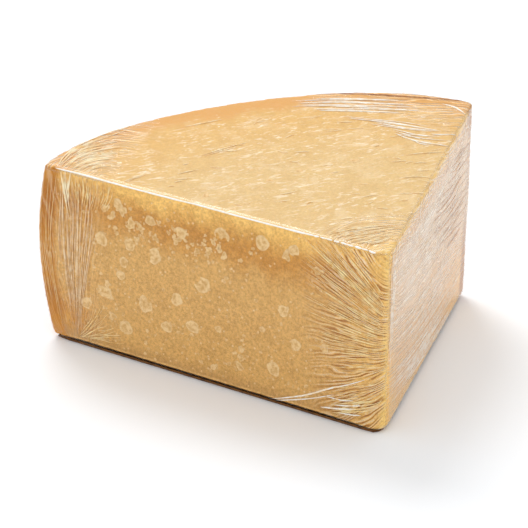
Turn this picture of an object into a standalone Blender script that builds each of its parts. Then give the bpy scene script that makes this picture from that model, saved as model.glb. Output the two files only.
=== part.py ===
"""A wedge of hard aged cheese, cut from a flat wheel and sealed in clear film.

The wedge stands on the wheel's lower face. Its front cut faces -Y, its right cut faces +X,
both meet at the tip, and the wheel's bulging rim closes it at the back and left.
Metres, +Z up, with the origin at the bottom centre of the wedge's bounding box.
"""

import math

import bmesh
import bpy
from mathutils import Vector, noise

# The two cuts and the angle between them at the tip
FRONT_CUT = 0.1805
RIGHT_CUT = 0.152
TIP_ANGLE = math.radians(74.2)

# Heights at the three corners: the wheel was pressed a little unevenly
TIP_HEIGHT = 0.0875
LEFT_HEIGHT = 0.0846
RIGHT_HEIGHT = 0.0960

# How far the rim stands out past the straight line between the two outer corners,
# and how much fuller than a round arc it is near them
RIM_BOW = 0.0342
RIM_FULLNESS = 0.0024

# The right cut isn't quite flat: its top edge bows out a little
RIGHT_CUT_BOW = 0.0008

# The rim's barrel shape: it bellies at mid height and draws in at the bottom
LEFT_BELLY = 0.0056
RIGHT_BELLY = 0.0010
LEFT_LEAN = 0.0044
RIGHT_LEAN = 0.0038

# Rounding of the upright corners, and of the edges at the top and the bottom,
# and how far the top droops at the tip
TIP_ROUND = 0.0060
CORNER_ROUND = 0.0014
TOP_EDGE_ROUND = 0.0013
BOTTOM_EDGE_ROUND = 0.0014
TIP_TOP_DROP = 0.0012

# How finely the surface is divided
CUT_STEP = 0.0065
TIP_STEPS = 7
CORNER_STEPS = 3
WALL_LEVELS = 11
EDGE_STEPS = 3
TOP_RINGS = 9

# Gentle waves of the cut and pressed surfaces under the film
WAVE_HEIGHT = 0.00035
WAVE_LENGTH = 0.028
WAVE_SEED = Vector((3.1, 7.4, 1.9))

PASTE_COLOUR = (0.72, 0.46, 0.20, 1.0)


def clear_scene():
    for obj in list(bpy.data.objects):
        bpy.data.objects.remove(obj, do_unlink=True)


def direction(angle):
    return Vector((math.cos(angle), math.sin(angle), 0.0))


def rim_circle(left, right):
    """Centre and radius of the arc through both outer corners with the wanted bow."""
    chord = right - left
    half = chord.length / 2
    radius = (half * half + RIM_BOW * RIM_BOW) / (2 * RIM_BOW)
    outward = Vector((-chord.y, chord.x, 0.0)).normalized()
    return (left + right) / 2 + outward * (RIM_BOW - radius), radius


def rounded_corner(corner, before, after, radius, steps):
    """Points and outward normals of an arc that rounds the corner between two straight sides."""
    into = (before - corner).normalized()
    out = (after - corner).normalized()
    half = into.angle(out) / 2
    centre = corner + (into + out).normalized() * radius / math.sin(half)
    first = corner + into * radius / math.tan(half) - centre
    last = corner + out * radius / math.tan(half) - centre
    turn = math.atan2(first.x * last.y - first.y * last.x, first.dot(last))
    start = math.atan2(first.y, first.x)
    normals = [direction(start + turn * i / steps) for i in range(steps + 1)]
    return [(centre + normal * radius, normal) for normal in normals]


def cut_side(start, end, normal, bow):
    """The outline's entries between two corners, without the corners' own points."""
    count = round((end - start).length / CUT_STEP)
    side = []
    for i in range(1, count):
        share = i / count
        side.append((start.lerp(end, share), normal, None, bow * math.sin(math.pi * share)))
    return side


def fullness(share):
    """Extra bow of the rim: none at its ends and in its middle, most near both corners."""
    from_middle = 2 * share - 1
    return RIM_FULLNESS * 4 * from_middle**2 * (1 - from_middle**2)


def plan_outline():
    """The wedge's outline from above, counter-clockwise from the tip's rounding.

    Each entry holds a point, its outward normal, its share of the rim and its bow at the
    top. The share is None on the cuts, and 0 at the right corner to 1 at the left one.
    """
    tip = Vector((0.0, 0.0, 0.0))
    left = Vector((-FRONT_CUT, 0.0, 0.0))
    right = direction(math.pi - TIP_ANGLE) * RIGHT_CUT
    centre, radius = rim_circle(left, right)
    right_angle = math.atan2(right.y - centre.y, right.x - centre.x)
    left_angle = math.atan2(left.y - centre.y, left.x - centre.x) % math.tau
    along_rim_from_right = direction(right_angle + math.pi / 2)
    along_rim_from_left = direction(left_angle - math.pi / 2)

    tip_arc = rounded_corner(tip, left, right, TIP_ROUND, TIP_STEPS)
    right_arc = rounded_corner(right, tip, right + along_rim_from_right, CORNER_ROUND, CORNER_STEPS)
    left_arc = rounded_corner(left, left + along_rim_from_left, tip, CORNER_ROUND, CORNER_STEPS)

    rim_count = round(radius * (left_angle - right_angle) / CUT_STEP)
    rim = []
    for i in range(1, rim_count):
        share = i / rim_count
        normal = direction(right_angle + (left_angle - right_angle) * share)
        rim.append((centre + normal * (radius + fullness(share)), normal, share, 0.0))

    outline = [(point, normal, None, 0.0) for point, normal in tip_arc]
    outline += cut_side(tip_arc[-1][0], right_arc[0][0], tip_arc[-1][1], RIGHT_CUT_BOW)
    outline += [(point, normal, 0.0, 0.0) for point, normal in right_arc]
    outline += rim
    outline += [(point, normal, 1.0, 0.0) for point, normal in left_arc]
    outline += cut_side(left_arc[-1][0], tip_arc[0][0], tip_arc[0][1], 0.0)
    return outline


def top_height(point):
    """Height of the sloping top over a place in the plan."""
    right = direction(math.pi - TIP_ANGLE) * RIGHT_CUT
    along_right = point.y / right.y
    along_left = (right.x * along_right - point.x) / FRONT_CUT
    return (
        TIP_HEIGHT
        + along_left * (LEFT_HEIGHT - TIP_HEIGHT)
        + along_right * (RIGHT_HEIGHT - TIP_HEIGHT)
    )


def rim_shift(point, share, level):
    """How far the rim's barrel shape moves a point, straight away from the tip."""
    if share is None:
        return Vector((0.0, 0.0, 0.0))
    belly = RIGHT_BELLY + (LEFT_BELLY - RIGHT_BELLY) * share
    lean = RIGHT_LEAN + (LEFT_LEAN - RIGHT_LEAN) * share
    return point.normalized() * (belly * 4 * level * (1 - level) - lean * (1 - level))


def near_tip(point):
    """1 at the tip, fading to 0 three roundings away from it."""
    return max(0.0, 1 - point.length / (3 * TIP_ROUND))


def wave(point):
    return WAVE_HEIGHT * noise.noise(point / WAVE_LENGTH + WAVE_SEED)


def wall_ring(outline, level, offset, inset):
    """One ring of the wall. Level is its share of the height, offset its distance above that."""
    ring = []
    for point, normal, share, bow in outline:
        place = point + rim_shift(point, share, level) + normal * (bow * level - inset)
        place.z = level * (top_height(point) - TIP_TOP_DROP * near_tip(point)) + offset
        ring.append(place + normal * wave(place) * 4 * level * (1 - level))
    return ring


def wall_rings(outline):
    """All rings from the flat foot, round its edge, up the wall and round the top edge."""
    rings = []
    for i in range(EDGE_STEPS):
        turn = math.pi / 2 * i / EDGE_STEPS
        rise = BOTTOM_EDGE_ROUND * (1 - math.cos(turn))
        inset = BOTTOM_EDGE_ROUND * (1 - math.sin(turn))
        rings.append(wall_ring(outline, 0.0, rise, inset))
    for i in range(WALL_LEVELS):
        level = i / (WALL_LEVELS - 1)
        offset = BOTTOM_EDGE_ROUND * (1 - level) - TOP_EDGE_ROUND * level
        rings.append(wall_ring(outline, level, offset, 0.0))
    for i in range(1, EDGE_STEPS + 1):
        turn = math.pi / 2 * i / EDGE_STEPS
        drop = TOP_EDGE_ROUND * (1 - math.sin(turn))
        inset = TOP_EDGE_ROUND * (1 - math.cos(turn))
        rings.append(wall_ring(outline, 1.0, -drop, inset))
    return rings


def top_rings(edge_ring):
    """Rings that shrink from the top edge to the middle, with the top's gentle waves."""
    middle = sum(edge_ring, Vector((0.0, 0.0, 0.0))) / len(edge_ring)
    rings = []
    for i in range(1, TOP_RINGS):
        share = i / TOP_RINGS
        ring = [point.lerp(middle, share) for point in edge_ring]
        for point in ring:
            flat = top_height(point) - TIP_TOP_DROP * near_tip(point)
            point.z = flat + wave(point) * min(1.0, 3 * share)
        rings.append(ring)
    middle.z = top_height(middle) + wave(middle)
    return rings, middle


def build_wedge():
    outline = plan_outline()
    rings = wall_rings(outline)
    upper, middle = top_rings(rings[-1])
    rings += upper

    bm = bmesh.new()
    loops = [[bm.verts.new(point) for point in ring] for ring in rings]
    for lower, higher in zip(loops, loops[1:]):
        for i, vert in enumerate(lower):
            following = (i + 1) % len(lower)
            bm.faces.new((vert, lower[following], higher[following], higher[i]))
    peak = bm.verts.new(middle)
    for i, vert in enumerate(loops[-1]):
        bm.faces.new((vert, loops[-1][(i + 1) % len(loops[-1])], peak))
    bm.faces.new(reversed(loops[0]))
    bmesh.ops.recalc_face_normals(bm, faces=bm.faces)

    low = Vector(min(vert.co[axis] for vert in bm.verts) for axis in range(3))
    high = Vector(max(vert.co[axis] for vert in bm.verts) for axis in range(3))
    shift = Vector((-(low.x + high.x) / 2, -(low.y + high.y) / 2, -low.z))
    bmesh.ops.translate(bm, verts=bm.verts, vec=shift)

    mesh = bpy.data.meshes.new("cheese_wedge")
    bm.to_mesh(mesh)
    bm.free()
    mesh.shade_smooth()
    mesh.set_sharp_from_angle(angle=math.radians(35))
    wedge = bpy.data.objects.new("cheese_wedge", mesh)
    bpy.context.collection.objects.link(wedge)
    return wedge


def film_over_paste():
    """Pale straw paste seen through the gloss of tight clear film."""
    material = bpy.data.materials.new("film_over_paste")
    material.use_nodes = True
    shader = material.node_tree.nodes["Principled BSDF"]
    shader.inputs["Base Color"].default_value = PASTE_COLOUR
    shader.inputs["Roughness"].default_value = 0.25
    shader.inputs["Metallic"].default_value = 0.0
    return material


def main():
    clear_scene()
    wedge = build_wedge()
    wedge.data.materials.append(film_over_paste())


main()
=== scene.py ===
# %% [markdown]
# A wedge of hard aged cheese, sealed in clear film
#
# This lesson dresses a plain solid wedge. The real thing is a quarter of a small cheese wheel:
# two straight cuts, a flat top and foot, and the wheel's bulging rim with its darker rind.
# A thin clear film is sucked tight round it, so there are two pieces to make: the cheese, and
# the film with its many fine creases. Lengths are metres, and millimetres are written as MM.

# %% Load the solid wedge
import math

import bpy
import numpy as np
from mathutils import Matrix, Vector
from mathutils.bvhtree import BVHTree


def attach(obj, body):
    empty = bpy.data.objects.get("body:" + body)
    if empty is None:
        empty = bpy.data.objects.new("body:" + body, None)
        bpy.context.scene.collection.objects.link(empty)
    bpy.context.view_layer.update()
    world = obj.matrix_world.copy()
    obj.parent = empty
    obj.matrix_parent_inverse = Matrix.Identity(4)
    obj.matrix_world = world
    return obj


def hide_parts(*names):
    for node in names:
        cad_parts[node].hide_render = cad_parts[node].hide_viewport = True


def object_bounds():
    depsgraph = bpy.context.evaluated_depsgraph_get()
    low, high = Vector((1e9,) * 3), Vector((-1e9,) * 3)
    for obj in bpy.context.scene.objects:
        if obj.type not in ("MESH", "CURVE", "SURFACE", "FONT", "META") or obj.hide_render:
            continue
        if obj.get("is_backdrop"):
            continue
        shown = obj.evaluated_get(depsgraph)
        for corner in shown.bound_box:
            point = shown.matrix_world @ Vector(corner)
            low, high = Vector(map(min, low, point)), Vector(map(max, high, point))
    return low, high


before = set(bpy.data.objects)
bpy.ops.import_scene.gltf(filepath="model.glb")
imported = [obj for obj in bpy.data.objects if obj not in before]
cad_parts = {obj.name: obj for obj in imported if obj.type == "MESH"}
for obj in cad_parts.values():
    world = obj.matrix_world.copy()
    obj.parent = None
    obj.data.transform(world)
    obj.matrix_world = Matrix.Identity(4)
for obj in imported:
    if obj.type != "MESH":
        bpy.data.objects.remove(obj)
solid_low, solid_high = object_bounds()
MM = 0.001
print("solid, mm:", [round(side / MM, 1) for side in solid_high - solid_low])

# %% [markdown]
# The two cuts meet at the tip, in front and to the right. The tip's edge is rounded, so the
# sharp corner itself lies a little outside the solid. A place on a cut is given by its distance
# from the tip and its height, and a place on the top by its two distances from the tip, all in
# millimetres, as someone with a ruler would note them.

# %% The tip and the faces
TIP_ANGLE = math.radians(74.2)
TIP_OVERHANG = 1.9 * MM
FRONT_CUT = 180.5 * MM
RIGHT_CUT = 152 * MM
HEIGHT_AT_TIP = 87.5 * MM
HEIGHT_AT_LEFT = 84.6 * MM
HEIGHT_AT_RIGHT = 96.0 * MM

tip = Vector((solid_high.x + TIP_OVERHANG, solid_low.y, 0.0))
along_right = Vector((-math.cos(TIP_ANGLE), math.sin(TIP_ANGLE), 0.0))
out_of_right = Vector((math.sin(TIP_ANGLE), math.cos(TIP_ANGLE), 0.0))


def on_front(distance, height):
    return tip + Vector((-distance, 0.0, height)) * MM


def on_right(distance, height):
    return tip + (along_right * distance + Vector((0.0, 0.0, height))) * MM


def on_top(x, y):
    share_right = y * MM / (along_right.y * RIGHT_CUT)
    share_left = (along_right.x * RIGHT_CUT * share_right - x * MM) / FRONT_CUT
    rise = share_left * (HEIGHT_AT_LEFT - HEIGHT_AT_TIP)
    rise += share_right * (HEIGHT_AT_RIGHT - HEIGHT_AT_TIP)
    return tip + Vector((x * MM, y * MM, HEIGHT_AT_TIP + rise))


print("tip, mm:", [round(value / MM, 1) for value in tip])

# %% [markdown]
# The picture was taken with a long lens from the front right, looking down by about 26
# degrees. The camera's three axes are built one by one, so the order of turns can't go wrong:
# first where it looks, then its right and up, then the small roll of the horizon.

# %% Camera
CAMERA_FROM_TIP = Vector((0.7702, -1.3592, 0.8405))
CAMERA_YAW = math.radians(-31.51)
CAMERA_PITCH = math.radians(25.90)
CAMERA_ROLL = math.radians(0.96)
CAMERA_LENS = 276.8

forward = Vector((
    math.sin(CAMERA_YAW) * math.cos(CAMERA_PITCH),
    math.cos(CAMERA_YAW) * math.cos(CAMERA_PITCH),
    -math.sin(CAMERA_PITCH),
))
level_right = Vector((math.cos(CAMERA_YAW), -math.sin(CAMERA_YAW), 0.0))
level_up = level_right.cross(forward)
camera_right = level_right * math.cos(CAMERA_ROLL) + level_up * math.sin(CAMERA_ROLL)
camera_up = level_up * math.cos(CAMERA_ROLL) - level_right * math.sin(CAMERA_ROLL)

bpy.ops.object.camera_add(location=tip + CAMERA_FROM_TIP)
camera = bpy.context.active_object
turn = Matrix((camera_right, camera_up, -forward)).transposed()
camera.rotation_euler = turn.to_euler()
camera.data.sensor_width = 36.0
camera.data.lens = CAMERA_LENS
bpy.context.scene.camera = camera
print("camera distance, m:", round(CAMERA_FROM_TIP.length, 2))

# %% [markdown]
# A product picture on white has a bright pale floor that fades into the background. The light
# is soft: a large panel above and behind the left side makes the top the brightest face, and
# drops a faint shadow to the right. The rest comes from a white room, set as the world's
# colour. The Standard view shows colours as they are, so that the cheese keeps its yellow.
# The floor lies a little lower than the foot, and a dark bead in the gap is painted contact shadow.

# %% Floor, lights and room
ROOM_STRENGTH = 0.90
PANEL_FROM_TIP = Vector((-1.05, 0.75, 1.45))
PANEL_TARGET = Vector((0.0, 0.0, 0.05))
PANEL_SIZE = 0.9
PANEL_POWER = 15.0
FLOOR_DROP = 1.15 * MM
FLOOR_WHITE = (0.95, 0.97, 0.995, 1.0)

bpy.context.scene.view_settings.view_transform = "Standard"
room = bpy.data.worlds.new("white room")
room.use_nodes = True
room.node_tree.nodes["Background"].inputs["Color"].default_value = (1.0, 1.0, 1.0, 1.0)
room.node_tree.nodes["Background"].inputs["Strength"].default_value = ROOM_STRENGTH
bpy.context.scene.world = room

panel_place = tip + PANEL_FROM_TIP
bpy.ops.object.light_add(type="AREA", location=panel_place)
panel = bpy.context.active_object
panel.name = "big panel"
panel.data.shape = "DISK"
panel.data.size = PANEL_SIZE
panel.data.energy = PANEL_POWER
panel.rotation_euler = (PANEL_TARGET - panel_place).to_track_quat("-Z", "Y").to_euler()

white = bpy.data.materials.new("white floor")
white.use_nodes = True
white_shader = white.node_tree.nodes["Principled BSDF"]
white_shader.inputs["Base Color"].default_value = FLOOR_WHITE
white_shader.inputs["Roughness"].default_value = 0.9
bpy.ops.mesh.primitive_plane_add(size=8.0, location=(0.0, 0.0, -FLOOR_DROP))
floor = bpy.context.active_object
floor.name = "floor"
floor.data.materials.append(white)
floor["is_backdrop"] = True
print("floor and one panel placed")

# %% [markdown]
# Both pieces start from the same smooth form. A copy of the solid is made of loose triangles,
# so its doubles are merged first. A voxel remesh then gives it even small faces, and a light
# smoothing takes away the flat facets. The even faces matter: the cheese gets its grain and
# the film its ripples from them.

# %% The smooth form that both pieces share
VOXEL = 1.01 * MM
SMOOTH_ROUNDS = 6


def only(thing):
    """Makes one object the only selected and active one."""
    bpy.ops.object.select_all(action="DESELECT")
    thing.select_set(True)
    bpy.context.view_layer.objects.active = thing


def apply_modifier(thing, kind, **settings):
    only(thing)
    modifier = thing.modifiers.new(kind.lower(), kind)
    for name, value in settings.items():
        setattr(modifier, name, value)
    bpy.ops.object.modifier_apply(modifier=modifier.name)


def copy_of(thing, name):
    only(thing)
    bpy.ops.object.duplicate()
    copied = bpy.context.active_object
    copied.name = name
    copied.data.name = name
    copied.data.materials.clear()
    return copied


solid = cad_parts["cheese_wedge"]
form = copy_of(solid, "form")
bpy.ops.object.mode_set(mode="EDIT")
bpy.ops.mesh.select_all(action="SELECT")
bpy.ops.mesh.remove_doubles(threshold=0.01 * MM)
bpy.ops.object.mode_set(mode="OBJECT")
sharp = copy_of(form, "sharp")
apply_modifier(form, "REMESH", mode="VOXEL", voxel_size=VOXEL)
apply_modifier(form, "SMOOTH", factor=0.5, iterations=SMOOTH_ROUNDS)
print("form faces:", len(form.data.polygons))

# %% [markdown]
# Colour on a cheese follows how far a place is from each outer face: the rind lies along the
# rim, and the light glows through the paste just under the top edge. So each point is given
# its distance to the top, both cuts and the rim. The merged solid's faces are sorted by their
# normals, and each group becomes a search tree that answers with the nearest distance.

# %% Distances to the faces of the wedge
TIP_ZONE = 30 * MM


def face_group(mesh, belongs):
    points = [vert.co.copy() for vert in mesh.vertices]
    faces = [tuple(face.vertices) for face in mesh.polygons if belongs(face)]
    return BVHTree.FromPolygons(points, faces)


def is_rim(face):
    upright = abs(face.normal.z) < 0.6
    outer = face.normal.y > -0.85 and face.normal.dot(out_of_right) < 0.93
    return upright and outer and (face.center - tip).to_2d().length > TIP_ZONE


FACE_TESTS = {
    "to_top": lambda face: face.normal.z > 0.85,
    "to_front": lambda face: face.normal.y < -0.98,
    "to_right": lambda face: face.normal.dot(out_of_right) > 0.98,
    "to_rim": is_rim,
}


def points_of(mesh):
    flat = np.empty(len(mesh.vertices) * 3)
    mesh.vertices.foreach_get("co", flat)
    return flat.reshape(-1, 3)


def normals_of(mesh):
    flat = np.empty(len(mesh.vertices) * 3)
    mesh.vertex_normals.foreach_get("vector", flat)
    return flat.reshape(-1, 3)


def set_number(mesh, name, values):
    attribute = mesh.attributes.new(name, "FLOAT", "POINT")
    attribute.data.foreach_set("value", np.asarray(values, dtype=np.float32))


distances = {}
for face_name, belongs in FACE_TESTS.items():
    tree = face_group(sharp.data, belongs)
    found = [tree.find_nearest(vert.co)[3] for vert in form.data.vertices]
    distances[face_name] = np.array(found)
    set_number(form.data, face_name, distances[face_name])
    print(face_name, "largest, mm:", round(distances[face_name].max() / MM, 1))

# %% [markdown]
# Where tight film runs over a corner it gathers into fans of fine creases. Their direction is
# different in each zone: they run into the tip's edge, they hang down beside the rind, they
# circle the upper left corner and the tip, and they lie along the right cut. Each zone here
# says how far a place is across the creases and along them, both in millimetres, and how
# strongly it is creased, which fades out where two zones meet. The materials then draw fine
# waves along that flow, and the film's own mesh is rippled with it.

# %% The flow of the creases
def fade(values, start, end):
    """1 up to start, falling smoothly to 0 at end, which may also lie below start."""
    share = np.clip((values - start) / (end - start), 0.0, 1.0)
    return 1.0 - share * share * (3.0 - 2.0 * share)


def around(first, second, centre, reach):
    """Angle times reach, and radius, round a centre."""
    angle = np.arctan2(second - centre[1], first - centre[0])
    radius = np.hypot(second - centre[1], first - centre[0])
    return angle * reach, radius


TIP_FAN_CENTRE = (-30.0, 42.0)
LEFT_FAN_CENTRE = (161.0, -14.0)
LEFT_ARC_CENTRE = (-148.0, -2.0)
BACK_STREAK_ANGLE = math.radians(20.0)
RIGHT_FALL = 0.13


def crease_flow(points):
    """Across, along and strength of the creases at each point."""
    from_tip = (points - np.array(tip)) / MM
    x, y, z = from_tip[:, 0], from_tip[:, 1], from_tip[:, 2]
    tip_rounding = fade(-x, 8.0, 11.0) * fade(y, 2.5, 6.0)
    on_the_front = np.maximum(fade(distances["to_front"] / MM, 0.8, 2.0), tip_rounding)
    on_the_top = fade(distances["to_top"] / MM, 0.8, 2.0)
    on_the_right = fade(distances["to_right"] / MM, 0.8, 2.0)
    right_run = x * along_right.x + y * along_right.y
    zones = []

    # The fan at the tip, weaker on the bare patch high up beside the edge
    across, along = around(-x, z, TIP_FAN_CENTRE, 60.0)
    strength = fade(-x + 0.12 * np.abs(z - 50.0), 16.0, 52.0)
    strength = strength * (1.0 - 0.7 * fade(np.hypot(-x - 4.0, z - 79.0), 3.0, 9.0))
    zones.append((across, along, strength * on_the_front))

    # The strands beside the rind, and the weaker lines over it
    across, along = around(-x, z, LEFT_FAN_CENTRE, 60.0)
    strands = 0.4 * fade(x, -160.0, -140.0) * fade(-x, 168.0, 174.0)
    strength = strands + 0.3 * fade(x, -174.0, -168.0)
    zones.append((across, along, np.clip(strength, 0.0, 1.0) * on_the_front))

    # The arcs round the upper left corner
    along, across = around(x, y, LEFT_ARC_CENTRE, 24.0)
    strength = fade(x + 0.25 * y, -158.0, -136.0)
    zones.append((across * 1.2, along, strength * on_the_top))

    # The folds along the rim at the back of the top
    across = -x * math.sin(BACK_STREAK_ANGLE) + y * math.cos(BACK_STREAK_ANGLE)
    along = x * math.cos(BACK_STREAK_ANGLE) + y * math.sin(BACK_STREAK_ANGLE)
    by_rim = fade(distances["to_rim"] / MM - 0.28 * (x + 60.0), 14.0, 34.0)
    zones.append((across, along, by_rim * fade(x, -90.0, -125.0) * on_the_top))

    # The arcs round the tip
    along, across = around(x, y, (0.0, 0.0), 30.0)
    strength = fade(np.hypot(x, y), 26.0, 44.0)
    zones.append((across, along, strength * on_the_top))

    # The lines of the right cut, which fall a little towards the back
    strength = 0.35 + 0.65 * fade(z, 60.0, 10.0)
    zones.append((z + RIGHT_FALL * right_run, right_run, strength * on_the_right))

    # The loose upright lines round the rim
    strength = 0.16 * fade(distances["to_rim"] / MM, 1.0, 3.0)
    zones.append((x * 0.8 + y * 0.6, z, strength))

    # Each place takes its strongest zone, and goes calm where two are nearly as strong
    strengths = np.stack([zone[2] for zone in zones])
    best = strengths.argmax(axis=0)
    pick = np.arange(len(points))
    ranked = np.sort(strengths, axis=0)
    lead = np.clip((ranked[-1] - ranked[-2]) * 4.0, 0.0, 1.0)
    across = np.stack([zone[0] for zone in zones])[best, pick]
    along = np.stack([zone[1] for zone in zones])[best, pick]
    return across, along, strengths[best, pick] * lead


form_points = points_of(form.data)
flow_across, flow_along, flow_strength = crease_flow(form_points)
flow = form.data.attributes.new("flow", "FLOAT_VECTOR", "POINT")
flow.data.foreach_set("vector", np.stack([flow_across, flow_along, flow_strength], axis=1).ravel())
print("creased share of the surface:", round(float((flow_strength > 0.3).mean()), 2))

# %% [markdown]
# The cheese lies just inside the film, so its copy of the form is drawn in along its normals.
# Hard cheese breaks into grains when it is cut, and a low uneven relief stands for that grain.
# A Displace modifier could do it, but a few lines of numbers also make shallow flakes in the
# band under the front's top edge.

# %% The cheese
FILM_GAP = 0.36 * MM
NOISE_WAVES = 24
NOISE_LIMIT = 1.3
GRAIN_SIZE = 4.0 * MM
GRAIN_DEPTH = 0.10 * MM
FLAKE_SIZE = 5.0 * MM
FLAKE_DEPTH = 0.16 * MM
FLAKES_BELOW_TOP = 20.0


def smooth_noise(points, size, seed):
    """A cheap smooth noise round zero, held within its limit: waves in random directions."""
    draw = np.random.default_rng(seed)
    total = np.zeros(len(points))
    for _ in range(NOISE_WAVES):
        direction = draw.normal(size=3)
        direction /= np.linalg.norm(direction)
        length = size * draw.uniform(0.6, 1.8)
        total += np.sin(points @ direction * (math.tau / length) + draw.uniform(0.0, math.tau))
    return np.tanh(total / math.sqrt(NOISE_WAVES) / NOISE_LIMIT) * NOISE_LIMIT


def move_along_normals(thing, amounts):
    mesh = thing.data
    moved = points_of(mesh) + normals_of(mesh) * np.asarray(amounts)[:, None]
    mesh.vertices.foreach_set("co", moved.ravel())
    mesh.update()


cheese = copy_of(form, "cheese")
grain = smooth_noise(form_points, GRAIN_SIZE, 11) * GRAIN_DEPTH
flaky = fade(np.abs(distances["to_top"] / MM - FLAKES_BELOW_TOP), 5.0, 14.0)
flaky = flaky * fade(distances["to_front"] / MM, 0.5, 2.0)
flakes = np.abs(smooth_noise(form_points, FLAKE_SIZE, 12)) * FLAKE_DEPTH * flaky
move_along_normals(cheese, grain - flakes - FILM_GAP)
bpy.ops.object.shade_smooth()
print("cheese faces:", len(cheese.data.polygons))

# %% [markdown]
# Wiring a material by code soon gets long, so this small helper holds one material and adds
# nodes to it. A value given to it may be a plain number or another node's socket.

# %% A helper for node materials
class Finish:
    """One node material, its object coordinates and short ways to add nodes to it."""

    def __init__(self, name):
        self.material = bpy.data.materials.new(name)
        self.material.use_nodes = True
        self.tree = self.material.node_tree
        self.tree.nodes.clear()
        self.output = self.tree.nodes.new("ShaderNodeOutputMaterial")
        self.place = self.add("TexCoord").outputs["Object"]

    def add(self, kind, inputs=None, **settings):
        node = self.tree.nodes.new("ShaderNode" + kind)
        for name, value in settings.items():
            setattr(node, name, value)
        for name, value in (inputs or {}).items():
            socket = node.inputs[name]
            if isinstance(value, bpy.types.NodeSocket):
                self.tree.links.new(value, socket)
            else:
                socket.default_value = value
        return node

    def math(self, operation, first, second=0.0):
        node = self.add("Math", {0: first, 1: second}, operation=operation)
        return node.outputs["Value"]

    def times(self, *values):
        result = values[0]
        for value in values[1:]:
            result = self.math("MULTIPLY", result, value)
        return result

    def spread(self, value, start, end, low=0.0, high=1.0):
        """Maps start to end smoothly onto low to high, and holds it there."""
        inputs = {"Value": value, "From Min": start, "From Max": end, "To Min": low, "To Max": high}
        node = self.add("MapRange", inputs, interpolation_type="SMOOTHSTEP")
        return node.outputs["Result"]

    def band(self, distance, start, end, low=0.0, high=1.0):
        """The same for a distance, between two given in millimetres."""
        return self.spread(distance, start * MM, end * MM, low, high)

    def number(self, name):
        return self.add("Attribute", attribute_name=name).outputs["Fac"]

    def vector(self, name):
        return self.add("Attribute", attribute_name=name).outputs["Vector"]

    def part(self, vector, letter):
        return self.add("SeparateXYZ", {0: vector}).outputs[letter]

    def scaled(self, vector, factors):
        node = self.add("VectorMath", {0: vector, 1: factors}, operation="MULTIPLY")
        return node.outputs["Vector"]

    def noise(self, scale, detail=3.0, roughness=0.55, distortion=0.0, vector=None):
        vector = self.place if vector is None else vector
        inputs = {"Vector": vector, "Scale": scale, "Detail": detail}
        inputs.update({"Roughness": roughness, "Distortion": distortion})
        return self.add("TexNoise", inputs).outputs["Fac"]

    def blend(self, share, below, above, kind="MIX"):
        node = self.add("Mix", data_type="RGBA", blend_type=kind)
        for index, value in ((0, share), (6, below), (7, above)):
            if isinstance(value, bpy.types.NodeSocket):
                self.tree.links.new(value, node.inputs[index])
            else:
                node.inputs[index].default_value = value
        return node.outputs[2]

    def bumped(self, height, strength, distance):
        inputs = {"Height": height, "Strength": strength, "Distance": distance}
        return self.add("Bump", inputs).outputs["Normal"]

    def principled(self, inputs):
        return self.add("BsdfPrincipled", inputs).outputs["BSDF"]

    def finish(self, shader):
        self.tree.links.new(shader, self.output.inputs["Surface"])
        return self.material


def screen(red, green, blue):
    """A colour given as it looks on a screen, 0 to 255, as the linear colour nodes use."""
    linear = []
    for value in (red, green, blue):
        share = value / 255
        linear.append(share / 12.92 if share <= 0.04045 else ((share + 0.055) / 1.055) ** 2.4)
    return (*linear, 1.0)


print("a straw yellow in linear light:", [round(value, 3) for value in screen(213, 178, 112)])

# %% [markdown]
# The film's finest creases are finer than the mesh, so the finishes draw them: a wave across
# the flow that drifts slowly to and fro, and a noise drawn out along the flow that says where
# its lines are seen.

# %% Fine lines along the flow
CREASE_SPACING = 2.0
CREASE_DRIFT = 6.0
DRIFT_SCALE = (1 / 9, 1 / 30, 0.0)
SEEN_SCALE = (1 / 2.4, 1 / 18, 0.0)


def crease_lines(paint, flow):
    """A wave across the creases, -1 between them and 1 on the crests, and where they are seen."""
    slow = paint.noise(1.0, 2.0, vector=paint.scaled(flow, DRIFT_SCALE))
    drift = paint.times(slow, CREASE_DRIFT)
    turns = paint.math("ADD", paint.times(paint.part(flow, "X"), 1 / CREASE_SPACING), drift)
    wave = paint.math("SINE", paint.times(turns, math.tau))
    seen = paint.noise(1.0, 1.0, vector=paint.scaled(flow, SEEN_SCALE))
    return wave, paint.spread(seen, 0.34, 0.56, 0.1, 1.0)


print("fine lines, mm apart:", CREASE_SPACING)

# %% [markdown]
# The paste is straw yellow on top and more golden on the cuts. Just under the top edge the
# light shines through the corner of the paste, and that glow is painted light in the colour;
# below it runs a browner band. Near the rim the paste turns into tan and amber rind. These are
# the colours, and a finish that holds the distances and the zones they follow.

# %% Colours and zones of the paste
PASTE_TOP = screen(226, 191, 128)
PASTE_TOP_OUTER = screen(226, 181, 104)
PASTE_CUT = screen(222, 175, 102)
# Painted light: the glow where light shines through the paste under the top edge and at the tip
PAINTED_GLOW = screen(250, 203, 114)
PASTE_BROWN = screen(208, 148, 64)
# Painted shade: the cuts darker towards the foot, where less light reaches
PAINTED_FOOT_SHADE = screen(205, 159, 93)
PASTE_RIGHT = screen(246, 194, 112)
# Painted contact shadow: the dark line just above the floor
PAINTED_CONTACT_SHADOW = screen(70, 36, 6)
FOOT_LIGHT = screen(236, 190, 120)
# Painted light: the tip's rounded edge and the right cut's top edge lit through, with a soft highlight
PAINTED_TIP_LIGHT = screen(255, 216, 128)
TOP_STREAK = screen(255, 238, 208)
RIND_AMBER = screen(203, 135, 35)
RIND_TAN = screen(221, 161, 80)
RIND_DEEP = screen(182, 112, 20)
SPECK = screen(240, 214, 168)
# Painted shade between the creases, and crests pale from doubled film and painted highlight
PAINTED_CREASE_SHADE = screen(156, 88, 20)
CREST_PALE_AND_HIGHLIGHT = screen(255, 226, 172)
STREAK_HEADING = math.radians(50.0)
STREAK_SIZE = (7.5 * MM, 2.1 * MM, 1.0)


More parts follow.
